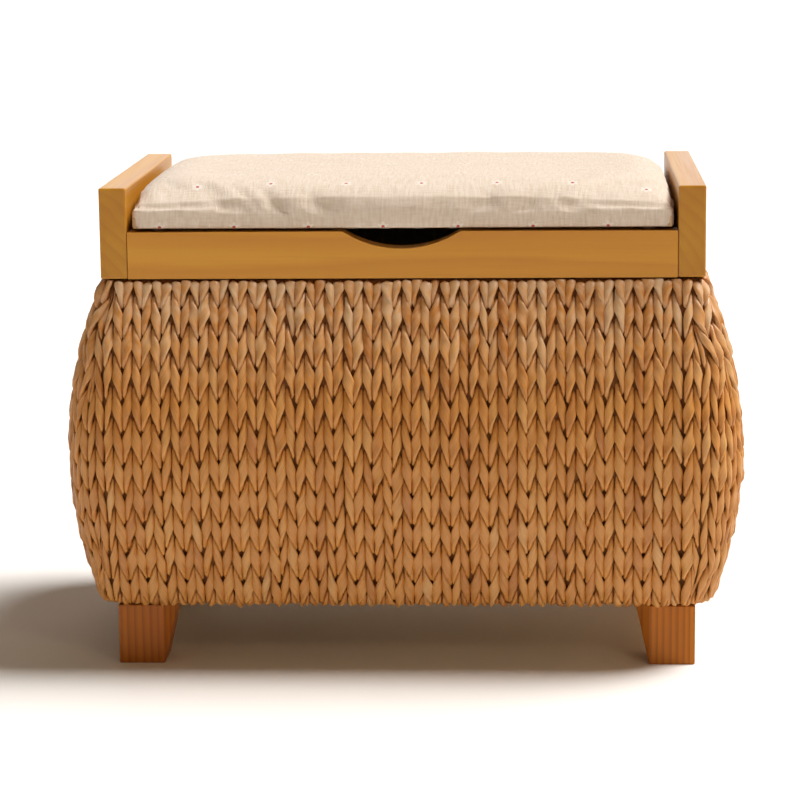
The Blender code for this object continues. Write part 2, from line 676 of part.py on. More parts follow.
def make_hinges():
    middle = KNUCKLE_MIDDLE / 2
    end = LEAF_WIDTH / 2
    fixed_z = APRON_TOP + GAP
    moving_z = fixed_z + LEAF_THICKNESS + GAP
    for side, sx in (("left", -1), ("right", 1)):
        centre = sx * HINGE_SPACING / 2
        make_leaf(f"hinge_fixed_leaf_{side}", centre, fixed_z,
                  ((-end, -middle - GAP), (middle + GAP, end)))
        moving = make_leaf(f"hinge_moving_leaf_{side}", centre, moving_z, ((-middle, middle),))
        hang_on_lid(moving)
        name = f"hinge_pin_{side}"
        pin = rod(name, (centre - end - 2 * GAP, AXIS_Y, AXIS_Z),
                  (centre + end + 2 * GAP, AXIS_Y, AXIS_Z), PIN_RADIUS, 24)
        for number, way in enumerate((-1, 1)):
            start = centre + way * (end + GAP)
            head = rod(f"{name}_head_{number}", (start, AXIS_Y, AXIS_Z),
                       (start + way * PIN_HEAD_LENGTH, AXIS_Y, AXIS_Z), PIN_HEAD_RADIUS, 16,
                       collection=CUTTERS)
            join(pin, head)
        paint(pin, ZINC, 0.3, 1.0)
        for number, step in enumerate((-0.5, 0.5), start=1):
            x = centre + step * SCREW_SPACING
            make_screw(f"fixed_leaf_screw_{side}_{number}", x, fixed_z + LEAF_THICKNESS, -1)
            hang_on_lid(make_screw(f"moving_leaf_screw_{side}_{number}", x, moving_z, 1))


make_base()
make_woven_shell()
make_hoops()
make_ribs()
make_liner()
make_end_boards()
make_front_apron()
make_rear_apron()
make_lid_board()
make_cushion()
make_lid_lining()
make_bumpers()
make_hinges()
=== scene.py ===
import math

import bmesh
import bpy
import numpy as np
from mathutils import Matrix, Vector, noise


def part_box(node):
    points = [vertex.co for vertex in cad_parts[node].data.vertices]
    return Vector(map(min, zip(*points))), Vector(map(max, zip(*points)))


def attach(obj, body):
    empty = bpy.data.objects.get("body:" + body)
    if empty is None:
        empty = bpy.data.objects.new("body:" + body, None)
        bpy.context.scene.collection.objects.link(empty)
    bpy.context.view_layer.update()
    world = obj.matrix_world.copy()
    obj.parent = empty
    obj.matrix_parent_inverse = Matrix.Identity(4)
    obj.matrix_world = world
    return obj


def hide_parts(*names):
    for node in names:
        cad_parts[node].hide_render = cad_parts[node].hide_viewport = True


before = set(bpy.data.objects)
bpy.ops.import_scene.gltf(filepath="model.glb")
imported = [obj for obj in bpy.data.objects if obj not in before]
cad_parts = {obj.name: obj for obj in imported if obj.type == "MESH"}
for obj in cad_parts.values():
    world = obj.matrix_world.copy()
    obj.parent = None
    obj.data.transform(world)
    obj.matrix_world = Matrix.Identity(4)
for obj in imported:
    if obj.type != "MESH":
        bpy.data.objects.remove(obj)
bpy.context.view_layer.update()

# ---------------------------------------------------------------- four block legs
# Solid wood blocks, sawn with plumb outer faces and inner cheeks that flare upwards.  They are
# stained a warm brown that lets the growth rings show.


class Value:
    """A socket of a material's tree.  Arithmetic on it adds Math nodes."""

    def __init__(self, finish, socket):
        self.finish = finish
        self.socket = socket

    def math(self, operation, other=0.0, swap=False):
        pair = (other, self) if swap else (self, other)
        return self.finish.node("ShaderNodeMath", {"operation": operation}, {0: pair[0], 1: pair[1]})

    def __add__(self, other):
        return self.math("ADD", other)

    __radd__ = __add__

    def __sub__(self, other):
        return self.math("SUBTRACT", other)

    def __rsub__(self, other):
        return self.math("SUBTRACT", other, swap=True)

    def __mul__(self, other):
        return self.math("MULTIPLY", other)

    __rmul__ = __mul__

    def __truediv__(self, other):
        return self.math("DIVIDE", other)

    def __pow__(self, other):
        return self.math("POWER", other)


class Finish:
    """A material under way: a Principled surface and the nodes that feed it."""

    def __init__(self, name, **constants):
        self.material = bpy.data.materials.new(name)
        self.material.use_nodes = True
        self.tree = self.material.node_tree
        self.surface = self.tree.nodes["Principled BSDF"]
        for socket, value in constants.items():
            self.surface.inputs[socket.replace("_", " ")].default_value = value

    def node(self, kind, settings=None, sockets=None, out=0):
        made = self.tree.nodes.new(kind)
        for key, value in (settings or {}).items():
            if key == "stops":
                ramp = made.color_ramp
                while len(ramp.elements) < len(value):
                    ramp.elements.new(0.5)
                for element, (place, colour) in zip(ramp.elements, value):
                    element.position = place
                    element.color = (*colour, 1.0)
            else:
                setattr(made, key, value)
        for key, value in (sockets or {}).items():
            if isinstance(value, Value):
                self.tree.links.new(value.socket, made.inputs[key])
            else:
                made.inputs[key].default_value = value
        return Value(self, made.outputs[out])

    def place(self, scale=(1.0, 1.0, 1.0), shift=(0.0, 0.0, 0.0)):
        """The object's own coordinates in metres, stretched and moved."""
        here = self.node("ShaderNodeTexCoord", out="Object")
        return self.node("ShaderNodeMapping", None, {"Vector": here, "Scale": scale, "Location": shift})

    def noise(self, vector, scale=1.0, detail=2.0, rough=0.5, colour=False):
        return self.node("ShaderNodeTexNoise", None,
                         {"Vector": vector, "Scale": scale, "Detail": detail, "Roughness": rough},
                         "Color" if colour else "Fac")

    def ramp(self, value, *stops):
        """Smooth step between grey levels or colours at places from 0 to 1."""
        stops = [(at, (c, c, c) if isinstance(c, (int, float)) else c) for at, c in stops]
        return self.node("ShaderNodeValToRGB", {"stops": stops}, {0: value})

    def span(self, value, low, high, to_low=0.0, to_high=1.0):
        """Rescale a value from one range to another and hold it there."""
        return self.node("ShaderNodeMapRange", {"clamp": True},
                         {0: value, 1: low, 2: high, 3: to_low, 4: to_high})

    def mix(self, share, first, second):
        """first where share is 0, second where it is 1."""
        first, second = [(*c, 1.0) if isinstance(c, tuple) and len(c) == 3 else c
                         for c in (first, second)]
        return self.node("ShaderNodeMix", {"data_type": "RGBA"},
                         {0: share, 6: first, 7: second}, 2)

    def feed(self, socket, value):
        self.tree.links.new(value.socket, self.surface.inputs[socket])

    def bump(self, height, distance, strength=1.0):
        """distance is the height in metres that a full step of height stands for."""
        lifted = self.node("ShaderNodeBump", None,
                           {"Height": height, "Distance": distance, "Strength": strength})
        self.feed("Normal", lifted)


def wear(name, finish):
    """Give a CAD node its finished material."""
    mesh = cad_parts[name].data
    mesh.materials.clear()
    mesh.materials.append(finish.material)


RING_REPEAT = 0.314         # metres between rings of a wave texture at scale 1
GRAIN_STRETCH = 0.06        # the figure runs this much slower along the grain than across it
GRAIN_SWAY = 0.030          # how far the rings wander, in metres
PORES_ACROSS = 700.0        # pores in a metre across the grain
PORES_ALONG = 9.0


def wood(name, grain, heart, sap, late, ring_gap, rough, shift, late_share=0.5, coat=0.10):
    """Sawn wood whose growth rings run round an axis along grain (0, 1 or 2 for X, Y or Z)."""
    f = Finish(name, Roughness=rough, Coat_Weight=coat, Coat_Roughness=0.25, Specular_IOR_Level=0.35)
    long = [1.0, 1.0, 1.0]
    long[grain] = GRAIN_STRETCH
    spot = f.place(scale=tuple(long), shift=shift)
    sway = f.noise(spot, 9.0, 3.0, 0.5, colour=True)
    bent = f.node("ShaderNodeVectorMath", {"operation": "MULTIPLY_ADD"},
                  {0: sway, 1: (GRAIN_SWAY, GRAIN_SWAY, GRAIN_SWAY), 2: spot})
    rings = f.node("ShaderNodeTexWave", {"wave_type": "RINGS", "rings_direction": "XYZ"[grain],
                                         "wave_profile": "SAW"},
                   {"Vector": bent, "Scale": RING_REPEAT / ring_gap, "Distortion": 1.4, "Detail": 2.0,
                    "Detail Scale": 2.0})
    fine = [PORES_ACROSS, PORES_ACROSS, PORES_ACROSS]
    fine[grain] = PORES_ALONG
    pores = f.noise(f.place(scale=tuple(fine), shift=shift), 1.0, 3.0, 0.6)
    broad = f.noise(spot, 22.0, 2.0)
    colour = f.mix(f.span(broad, 0.35, 0.7), heart, sap)
    colour = f.mix(f.ramp(rings, (0.35, 0.0), (0.85, late_share), (1.0, 0.0)), colour, late)
    colour = f.mix(f.span(pores, 0.55, 0.85, 0.0, 0.35), colour, late)
    f.feed("Base Color", colour)
    f.feed("Roughness", f.span(pores + broad, 0.6, 1.4, rough - 0.06, rough + 0.10))
    f.bump(pores, 0.00006, 0.5)
    return f


STAIN = dict(heart=(0.450, 0.124, 0.003), sap=(0.570, 0.185, 0.005), late=(0.210, 0.050, 0.002))
for number, leg in enumerate(("front_left", "front_right", "rear_left", "rear_right")):
    wear("leg_" + leg, wood(f"stained_{leg}", 2, ring_gap=0.006, rough=0.46, coat=0.0,
                            shift=(0.31 * number, 0.17 * number + 0.05, 0.0), **STAIN))

# ---------------------------------------------------------------- leg bolts
# Zinc-plated hexagon bolts, let into the base rails from above and screwed down into the legs.

zinc = Finish("zinc_plating", Metallic=1.0)
cloud = zinc.noise(zinc.place(), 160.0, 4.0, 0.6)
zinc.feed("Base Color", zinc.mix(zinc.span(cloud, 0.3, 0.75), (0.55, 0.53, 0.49), (0.341, 0.329, 0.304)))
zinc.feed("Roughness", zinc.span(cloud, 0.3, 0.7, 0.24, 0.48))
zinc.bump(zinc.noise(zinc.place(), 1400.0, 2.0), 0.00003, 0.4)
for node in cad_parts:
    if node.startswith("leg_bolt"):
        wear(node, zinc)

# ---------------------------------------------------------------- base rails and storage floor
# Four planed pine rails on edge make the base, with a thin sheet of plywood laid on them as the
# floor of the storage box.  Both are left bare.

BARE_PINE = dict(heart=(0.55, 0.33, 0.15), sap=(0.66, 0.44, 0.22), late=(0.38, 0.19, 0.07))
for side, grain in (("front", 0), ("rear", 0), ("left", 1), ("right", 1)):
    wear("base_rail_" + side, wood(f"bare_pine_{side}", grain, ring_gap=0.006, rough=0.6,
                                   shift=(0.1, 0.2, 0.3), **BARE_PINE))
plywood = wood("plywood", 0, (0.56, 0.38, 0.20), (0.66, 0.48, 0.28), (0.45, 0.28, 0.13), 0.012,
               0.6, (0.4, 0.1, 0.2), 0.3)
wear("storage_floor", plywood)

# ---------------------------------------------------------------- wire frame
# Bent steel wire with a dark powder coat: four hoops and ten upright ribs hold the weave in its
# swollen shape.  The ribs are let into the underside of the top frame.

coat = Finish("powder_coat", Metallic=0.0)
grains = coat.noise(coat.place(), 900.0, 3.0)
coat.feed("Base Color", coat.mix(grains, (0.010, 0.010, 0.011), (0.035, 0.034, 0.033)))
coat.feed("Roughness", coat.span(grains, 0.3, 0.7, 0.42, 0.6))
coat.bump(grains, 0.00006, 0.5)
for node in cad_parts:
    if node.startswith("wire_"):
        wear(node, coat)

# ---------------------------------------------------------------- woven body
# Ropes of dried water-hyacinth strand run from the frame down to the rim, each one two strands
# twisted together.  Neighbouring ropes are twisted opposite ways, so the stitches make rows of V.
# Extra pairs of ropes are let in at the corners, where the body swells.

frame_low, frame_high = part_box("end_board_left")
HALF_W = -frame_low.x
HALF_D = frame_high.y
WEAVE_TOP = frame_low.z
WEAVE_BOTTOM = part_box("leg_front_left")[1].z
FLARE = 0.0070              # how far the lower rim stands out past the frame
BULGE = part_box("woven_shell")[1].x - HALF_W - 0.28 * FLARE
CORNER = 0.012              # corner radius of the weave just under the frame
ROPES_LONG = 60             # ropes on the front and on the back
ROPES_SHORT = 34            # ropes on each end
ROPES_CORNER = 8            # ropes at each corner, at the widest
ROW_PITCH = 0.0274          # from one row of stitches to the next, along the rope
FIRST_ROW = 0.0050          # middle of the first row, below the frame
ROWS = 12
ROPE_RADIUS = 0.0044        # outside of a rope, from its middle
STRAND_OFFSET = 0.0021      # middle of a strand, from the middle of its rope
STRAND_WIDE = 0.0050        # half width of a strand lying flat on the rope
STRAND_THICK = 0.0027
RIM_TURN = 0.0045           # radius of the turn under the rim
WRAP = math.radians(156)    # how far a stitch winds each way from the front of its rope
TOP_WRAP = math.radians(34)     # the same for the upper end of the top row, which is cut off
END_TAPER = 0.34            # a smaller number gives a stitch blunter ends
TOP_TAPER = 0.12
TOP_WIDE = 1.12             # the cut ends of the top row are spread this much wider
TOP_REACH = 0.97            # length of a stitch of the top row against the others
RIM_CLEAR = 0.0024          # a rope starts to turn under this far above the rim
RIM_SWEEP = math.radians(125)
MIDDLE_Z = (WEAVE_TOP + WEAVE_BOTTOM) / 2
HALF_Z = (WEAVE_TOP - WEAVE_BOTTOM) / 2
rng = np.random.default_rng(7)


def swell_out(z):
    """How far the body stands out past the frame at a height, and how fast that changes."""
    t = (z - MIDDLE_Z) / HALF_Z
    out = BULGE * (1 - t * t) + FLARE * ((1 - t) / 2) ** 2
    return out, -(2 * BULGE * t + FLARE * (1 - t) / 2) / HALF_Z


def wall_profile():
    """The rope's path from the frame down and under the rim: run, outward offset, height, lean."""
    z = np.linspace(WEAVE_TOP, WEAVE_BOTTOM + ROPE_RADIUS + RIM_CLEAR, 120)
    out, slope = swell_out(z)
    lean = -np.arctan(slope)
    out = out - ROPE_RADIUS * np.cos(lean)
    high = z - ROPE_RADIUS * np.sin(lean)
    turn = np.linspace(lean[-1], lean[-1] - RIM_SWEEP, 24)[1:]
    pivot = (out[-1] - RIM_TURN * math.cos(lean[-1]), high[-1] - RIM_TURN * math.sin(lean[-1]))
    out = np.append(out, pivot[0] + RIM_TURN * np.cos(turn))
    high = np.append(high, pivot[1] + RIM_TURN * np.sin(turn))
    lean = np.append(lean, turn)
    run = np.append(0.0, np.cumsum(np.hypot(np.diff(out), np.diff(high))))
    return run, out, high, lean


RUN, OUT, HIGH, LEAN = wall_profile()


def smooth_step(value, low, high):
    t = np.clip((value - low) / (high - low), 0.0, 1.0)
    return t * t * (3 - 2 * t)


def stitch_form():
    """One plump strand as an upright ball of a few dozen faces; its poles are the two ends."""
    bm = bmesh.new()
    bmesh.ops.create_uvsphere(bm, u_segments=8, v_segments=9, radius=1.0)
    mesh = bpy.data.meshes.new("stitch")
    bm.to_mesh(mesh)
    bm.free()
    return mesh


STITCH = stitch_form()
BALL = np.array([v.co for v in STITCH.vertices])


def side_place(middle, outward):
    """Ropes along a straight side, from the middle of that side at the frame."""

    def place(column, run):
        offset = np.interp(run, RUN, OUT)
        rightward = np.array([-outward[1], outward[0]])
        point = np.array(middle) + rightward * column + np.array(outward) * offset[:, None]
        return point, np.broadcast_to(np.array(outward, float), point.shape), np.ones_like(run)

    return place


# A pair of ropes at a corner: the run at which it is let in, and the run at which it ends.
CORNER_PAIRS = ((0.034, 0.300), (-0.1, 0.9), (0.072, 0.262), (0.006, 0.9))
CORNER_EASE = 0.050         # length over which a pair widens or narrows


def corner_place(quarter):
    """Ropes round a corner: they fan out as the corner opens and new pairs come in."""
    sx, sy = ((1, -1), (1, 1), (-1, 1), (-1, -1))[quarter]
    pivot = np.array([sx * (HALF_W - CORNER), sy * (HALF_D - CORNER)])
    start = math.radians(-90 + 90 * quarter)

    def place(column, run):
        offset = np.interp(run, RUN, OUT)
        share = np.array([smooth_step(run, low, low + CORNER_EASE)
                          * (1 - smooth_step(run, high - CORNER_EASE, high))
                          for low, high in CORNER_PAIRS])
        total = share.sum(axis=0)
        pair, half = divmod(int(column), 2)
        before = share[:pair].sum(axis=0) + share[pair] * (0.25 + 0.5 * half)
        angle = start + before / total * math.pi / 2
        radius = CORNER + offset
        outward = np.stack([np.cos(angle), np.sin(angle)], axis=1)
        width = np.maximum(share[pair], 0.02) / total * math.pi / 4 * radius
        return pivot + outward * radius[:, None], outward, width / (2 * STRAND_WIDE)

    return place


# How uneven the hand work is: spread of each measure, in metres where it is a length.
ROPE_DRIFT = 0.00035        # of a whole rope, sideways and outward
ROPE_RISE = 0.0020          # of a whole rope, along itself
ROW_JITTER = 0.0012         # of one stitch, along its rope
WIDE_SPREAD = 0.12          # of a strand's width
TURN_SPREAD = 0.26          # of how a stitch lies round its rope, in radians
PLUMP_SPREAD = 0.09         # of a strand's thickness
LIFT_SPREAD = 0.00035       # of one stitch, outward
LIFE_MARGIN = 0.004         # a rope let in at a corner has no stitch this near its ends
NARROWEST = 0.30            # width of a stitch at a corner, against one on a straight side
WIDEST = 1.2
TUCK = 0.0010               # the lower end of a stitch lies this much prouder than its middle
TOP_TRIM = 0.0012           # the cut ends of the top row, below the frame
TOP_UNEVEN = 0.0007


def make_ropes(name, place, columns, lives=None):
    """One piece of weave: stitches of every rope in columns, bent to the wall."""
    points, strand, where = [], [], []
    for number, column in enumerate(columns):
        hand = 1 if number % 2 == 0 else -1
        drift = rng.normal(0.0, ROPE_DRIFT)
        rise = rng.normal(0.0, ROPE_RISE)
        tone = rng.random(2)
        for row in range(ROWS):
            middle = FIRST_ROW + row * ROW_PITCH + rise * min(1, row) + rng.normal(0.0, ROW_JITTER)
            first, last = lives[number] if lives else (-math.inf, math.inf)
            alive = first + LIFE_MARGIN < middle < last - LIFE_MARGIN
            grow = rng.normal(1.0, WIDE_SPREAD)
            wind_shift = rng.normal(0.0, TURN_SPREAD)
            plump = rng.normal(1.0, PLUMP_SPREAD)
            pick = 0.55 * tone[row % 2] + 0.45 * rng.random()
            lift = rng.normal(0.0, LIFT_SPREAD)
            if not alive:
                continue
            polar = np.arccos(np.clip(BALL[:, 2], -1, 1)) / math.pi      # 0 at the top end
            round_ = np.arctan2(BALL[:, 1], BALL[:, 0])
            blunt = row == 0
            low_wind = -TOP_WRAP if blunt else -WRAP
            wind = low_wind + (WRAP - low_wind) * polar + wind_shift * np.sin(math.pi * polar)
            taper = np.sin(math.pi * np.clip(polar, 0.0, 1.0)) ** END_TAPER
            if blunt:
                top = TOP_WIDE * np.sin(math.pi * np.clip(polar, 0, 0.5)) ** TOP_TAPER
                taper = np.where(polar < 0.5, top, taper)
            run = middle + wind / math.pi * ROW_PITCH * (TOP_REACH if blunt else 1.0)
            run = np.clip(run, 0.0, RUN[-1] - 0.0002)
            core, outward, wide = place(column, run)
            wide = np.clip(wide, NARROWEST, WIDEST)
            flat = STRAND_WIDE * grow * taper * wide * np.cos(round_)
            thick = STRAND_THICK * plump * taper * np.minimum(wide, 1.05) * np.sin(round_)
            away = STRAND_OFFSET * wide
            side = hand * (away * np.sin(wind)) + flat * hand * np.cos(wind) + thick * hand * np.sin(wind)
            deep = away * np.cos(wind) - flat * np.sin(wind) + thick * np.cos(wind)
            deep = deep + lift + TUCK * np.sin(wind / 2) + drift
            rightward = np.stack([-outward[:, 1], outward[:, 0]], axis=1)
            lean = np.interp(run, RUN, LEAN)
            flatxy = core + rightward * (side + drift)[:, None] + outward * (deep * np.cos(lean))[:, None]
            height = np.interp(run, RUN, HIGH) + deep * np.sin(lean)
            height = np.minimum(height, WEAVE_TOP - TOP_TRIM + TOP_UNEVEN * (pick - 0.5))
            points.append(np.column_stack([flatxy, height]))
            strand.append(np.column_stack([flat / STRAND_WIDE, wind, np.full(len(wind), pick)]))
            where.append(np.column_stack([deep / ROPE_RADIUS, run, np.zeros(len(wind))]))
    bm = bmesh.new()
    for _ in points:
        bm.from_mesh(STITCH)
    piece = put(name, bm, hyacinth)
    mesh = piece.data
    mesh.vertices.foreach_set("co", np.concatenate(points).astype(np.float32).ravel())
    for label, values in (("strand", strand), ("where", where)):
        mesh.attributes.new(label, "FLOAT_VECTOR", "POINT").data.foreach_set(
            "vector", np.concatenate(values).astype(np.float32).ravel())
    mesh.update()
    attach(piece, "base")


def hyacinth_finish():
    """Flattened plant stalk: fine ribs along it, a painted highlight on the top rows and painted shade in
    the pits.
    """
    f = Finish("water_hyacinth", Coat_Weight=0.22, Coat_Roughness=0.32)
    f.surface.inputs["Specular IOR Level"].default_value = 0.45
    part = f.node("ShaderNodeAttribute", {"attribute_name": "strand"}, out="Vector")
    spot = f.node("ShaderNodeAttribute", {"attribute_name": "where"}, out="Vector")
    split = f.node("ShaderNodeSeparateXYZ", None, {0: part})
    across, along, pick = (Value(f, split.socket.node.outputs[k]) for k in range(3))
    split = f.node("ShaderNodeSeparateXYZ", None, {0: spot})
    deep, run = (Value(f, split.socket.node.outputs[k]) for k in range(2))
    lines = f.node("ShaderNodeCombineXYZ", None, {0: across * 6.0, 1: along * 0.55, 2: pick * 91.0})
    rib = f.noise(lines, 1.0, 3.0, 0.6)
    blot = f.node("ShaderNodeCombineXYZ", None, {0: across * 0.8, 1: along * 0.8, 2: pick * 37.0})
    patch = f.noise(blot, 1.0, 2.0)
    colour = f.ramp(pick, (0.0, (0.440, 0.152, 0.028)), (0.3, (0.575, 0.233, 0.044)),
                    (0.62, (0.640, 0.280, 0.060)), (0.85, (0.680, 0.338, 0.092)),
                    (1.0, (0.670, 0.390, 0.160)))
    colour = f.mix(f.span(patch, 0.35, 0.75, 0.0, 0.5), colour, (0.64, 0.305, 0.080))
    colour = f.mix(f.span(rib, 0.46, 0.74, 0.0, 0.45), colour, (0.30, 0.105, 0.022))
    # Painted highlight: the top rows are lightened towards a pale tan, for the light they catch where the
    # body swells up and out.
    pale = f.span(run, 0.11, 0.01) * f.span(patch + pick * 0.4, 0.45, 0.95)
    colour = f.mix(pale * 0.75, colour, (0.68, 0.50, 0.33))
    # Painted shade: the deeper a point lies in the weave, the darker red-brown it is made, for the shade in
    # the pits.
    colour = f.mix(f.span(deep, 0.45, -0.85, 0.0, 0.64), colour, (0.31, 0.085, 0.014))
    f.feed("Base Color", colour)
    f.feed("Roughness", f.span(rib + patch * 0.5, 0.5, 1.1, 0.36, 0.58))
    f.bump(rib, 0.00035, 0.55)
    return f


def put(name, bm, finish):
    """Turn a finished bmesh into a smooth-shaded object with its material."""
    mesh = bpy.data.meshes.new(name)
    bm.to_mesh(mesh)
    bm.free()
    mesh.shade_smooth()
    mesh.materials.append(finish.material)
    piece = bpy.data.objects.new(name, mesh)
    bpy.context.scene.collection.objects.link(piece)
    return piece


hyacinth = hyacinth_finish()
straight_w = HALF_W - CORNER
straight_d = HALF_D - CORNER


def column_places(half, ropes):
    return [half * (2 * (k + 0.5) / ropes - 1) for k in range(ropes)]


for name, half, ropes, middle, outward in (
        ("weave_front", straight_w, ROPES_LONG, (0.0, -HALF_D), (0.0, -1.0)),
        ("weave_right", straight_d, ROPES_SHORT, (HALF_W, 0.0), (1.0, 0.0)),
        ("weave_back", straight_w, ROPES_LONG, (0.0, HALF_D), (0.0, 1.0)),
        ("weave_left", straight_d, ROPES_SHORT, (-HALF_W, 0.0), (-1.0, 0.0))):
    make_ropes(name, side_place(middle, outward), column_places(half, ropes))
for quarter, name in enumerate(("front_right", "rear_right", "rear_left", "front_left")):
    lives = [CORNER_PAIRS[k // 2] for k in range(ROPES_CORNER)]
    make_ropes("weave_corner_" + name, corner_place(quarter), range(ROPES_CORNER), lives)

# ---------------------------------------------------------------- inside of the weave
# Behind the stitches lie the strands' own backs and the turned-in ends, packed into a thin
# wall.  It closes the pits between the stitches, and its dark red-brown is painted shade for them.

BACKING_DEPTH = 0.0062      # skin of the backing, in from the outside of the weave
BACKING_WALL = 0.0022
BACKING_TOP = WEAVE_TOP - 0.0016
BACKING_LOW = WEAVE_BOTTOM + 0.004
BACKING_LEVELS = 20


def make_backing():
    z_top, z_low = BACKING_TOP, BACKING_LOW
    bm = bmesh.new()
    size = Matrix.Diagonal((2 * HALF_W, 2 * HALF_D, z_top - z_low, 1.0))
    bmesh.ops.create_cube(bm, size=1.0, matrix=Matrix.Translation((0, 0, (z_top + z_low) / 2)) @ size)
    bmesh.ops.delete(bm, geom=[f for f in bm.faces if abs(f.normal.z) > 0.5], context="FACES_ONLY")
    upright = [e for e in bm.edges if abs(e.verts[0].co.z - e.verts[1].co.z) > 0.1]
    bmesh.ops.bevel(bm, geom=upright, offset=CORNER, offset_type="OFFSET", segments=6, profile=0.5,
                    affect="EDGES", material=-1)
    for step in range(1, BACKING_LEVELS):
        level = z_low + (z_top - z_low) * step / BACKING_LEVELS
        bmesh.ops.bisect_plane(bm, geom=bm.verts[:] + bm.edges[:] + bm.faces[:], dist=1e-6,
                               plane_co=(0, 0, level), plane_no=(0, 0, 1))
    for v in bm.verts:
        core = Vector((max(-straight_w, min(straight_w, v.co.x)), max(-straight_d, min(straight_d, v.co.y))))
        out, slope = swell_out(v.co.z)
        grow = out - BACKING_DEPTH * math.hypot(1, slope)
        outward = (v.co.xy - core).normalized() * grow
        v.co.x += outward.x
        v.co.y += outward.y
    bmesh.ops.recalc_face_normals(bm, faces=bm.faces)
    return bm


def thicken(piece, thickness):
    """Give a single skin its thickness, inwards."""
    skin = piece.modifiers.new("thickness", "SOLIDIFY")
    skin.thickness = thickness
    skin.offset = -1.0


dark = Finish("strand_backs", Roughness=0.85)
streak = dark.noise(dark.place(scale=(700, 700, 30)), 1.0, 3.0)
# Painted shade: the strand backs are coloured far darker than the strands, for the shade in the pits between
# the stitches.
dark.feed("Base Color", dark.mix(streak, (0.170, 0.056, 0.013), (0.360, 0.136, 0.034)))
dark.bump(streak, 0.0006, 0.8)
backing = put("weave_backing", make_backing(), dark)
thicken(backing, BACKING_WALL)
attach(backing, "base")
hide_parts("woven_shell")

# ---------------------------------------------------------------- pine top frame
# Two end boards and two aprons of planed pine under a honey-coloured satin varnish.  The end
# boards rise above the seat.  The front apron has a finger notch sawn into its top edge.

PINE = dict(heart=(0.600, 0.262, 0.021), sap=(0.680, 0.322, 0.032), late=(0.490, 0.166, 0.012))
PINE_ENDS = dict(heart=(0.480, 0.205, 0.011), sap=(0.540, 0.255, 0.018), late=(0.420, 0.148, 0.008))
for node, grain, shift in (("front_apron", 0, (0.3, 0.52, -0.30)), ("rear_apron", 0, (0.7, -0.35, -0.33)),
                           ("end_board_left", 1, (0.31, 0.2, -0.33)),
                           ("end_board_right", 1, (-0.19, 0.6, -0.32))):
    wear(node, wood("varnished_" + node, grain, ring_gap=0.0075 if grain == 0 else 0.011, rough=0.36,
                    shift=shift, late_share=0.42 if grain == 0 else 0.38,
                    **(PINE if grain == 0 else PINE_ENDS)))

# ---------------------------------------------------------------- butt hinges
# Two small hinges of folded sheet steel at the back.  The fixed leaves are screwed to the rear
# apron and the moving leaves to the lid board, and a pin joins each pair.

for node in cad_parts:
    if node.startswith(("hinge_", "fixed_leaf_screw", "moving_leaf_screw")):
        wear(node, zinc)

# ---------------------------------------------------------------- cloth liner
# A box of cotton canvas, open at the top, hangs inside the body.  Its cross-shaped cut is sewn up
# at the four corners, and its doubled top hem is stapled to the inside of the frame.

LINER_HEM = 0.020
LINER_SLACK = 0.0040        # how far the walls hang in from the body between their fixed edges
LINER_STIFF = 0.05          # the seams hold the walls straight this near the corners
LINER_CLOTH = 0.0010
liner_low, liner_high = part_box("fabric_liner")


def cut_grid(bm, pitch):
    """Cut every face of a box-shaped mesh into squares of about pitch."""
    for axis in range(3):
        places = [v.co[axis] for v in bm.verts]
        start, length = min(places), max(places) - min(places)
        count = max(1, round(length / pitch))
        for step in range(1, count):
            point, normal = Vector(), Vector()
            point[axis] = start + length * step / count
            normal[axis] = 1.0
            bmesh.ops.bisect_plane(bm, geom=bm.verts[:] + bm.edges[:] + bm.faces[:], dist=1e-6,
                                   plane_co=point, plane_no=normal)


def solid_box(low, high):
    bm = bmesh.new()
    low, high = Vector(low), Vector(high)
    size = Matrix.Diagonal((*(high - low), 1.0))
    bmesh.ops.create_cube(bm, size=1.0, matrix=Matrix.Translation((low + high) / 2) @ size)
    return bm


def new_piece(name, bm, finish, body):
    """Put a piece in the scene, on the body it moves with."""
    piece = put(name, bm, finish)
    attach(piece, body)
    return piece


def make_liner():
    bm = solid_box(liner_low, liner_high)
    bmesh.ops.delete(bm, geom=[f for f in bm.faces if f.normal.z > 0.5], context="FACES_ONLY")
    cut_grid(bm, 0.010)
    height = liner_high.z - liner_low.z
    for v in bm.verts:
        risen = min(1.0, (v.co.z - liner_low.z) / (height - LINER_HEM))
        hang = math.sin(math.pi * risen) ** 0.7 if v.co.z < liner_high.z - LINER_HEM else 0.0
        wave = noise.noise(Vector((v.co.x * 14, v.co.y * 14, v.co.z * 5)))
        for axis in (0, 1):
            near = min(v.co[axis] - liner_low[axis], liner_high[axis] - v.co[axis])
            other = 1 - axis
            room = min(v.co[other] - liner_low[other], liner_high[other] - v.co[other])
            if near <= 0.0 and room > 0.0:
                inward = hang * min(1.0, room / LINER_STIFF) * LINER_SLACK * (0.6 + wave)
                v.co[axis] -= math.copysign(max(0.0, inward), v.co[axis])
    return bm


def canvas_finish(name, thread, shade, pitch):
    """Plain weave: two sets of threads cross at pitch, with uneven slubs along them."""
    f = Finish(name, Roughness=0.92, Sheen_Weight=0.15)
    turns = 2 * math.pi / pitch
    spot = f.node("ShaderNodeSeparateXYZ", None, {0: f.place()})
    x, y, z = (Value(f, spot.socket.node.outputs[k]) for k in range(3))
    across = ((x + y) * turns).math("SINE")
    along = ((z + y) * turns).math("SINE")
    threads = across * along * 0.5 + 0.5
    slub = f.noise(f.place(scale=(1.0, 1.0, 0.2)), 260.0, 3.0)
    f.feed("Base Color", f.mix(f.span(slub + threads * 0.2, 0.35, 0.85), shade, thread))
    f.bump(threads * 0.6 + slub, 0.00025, 0.6)
    return f


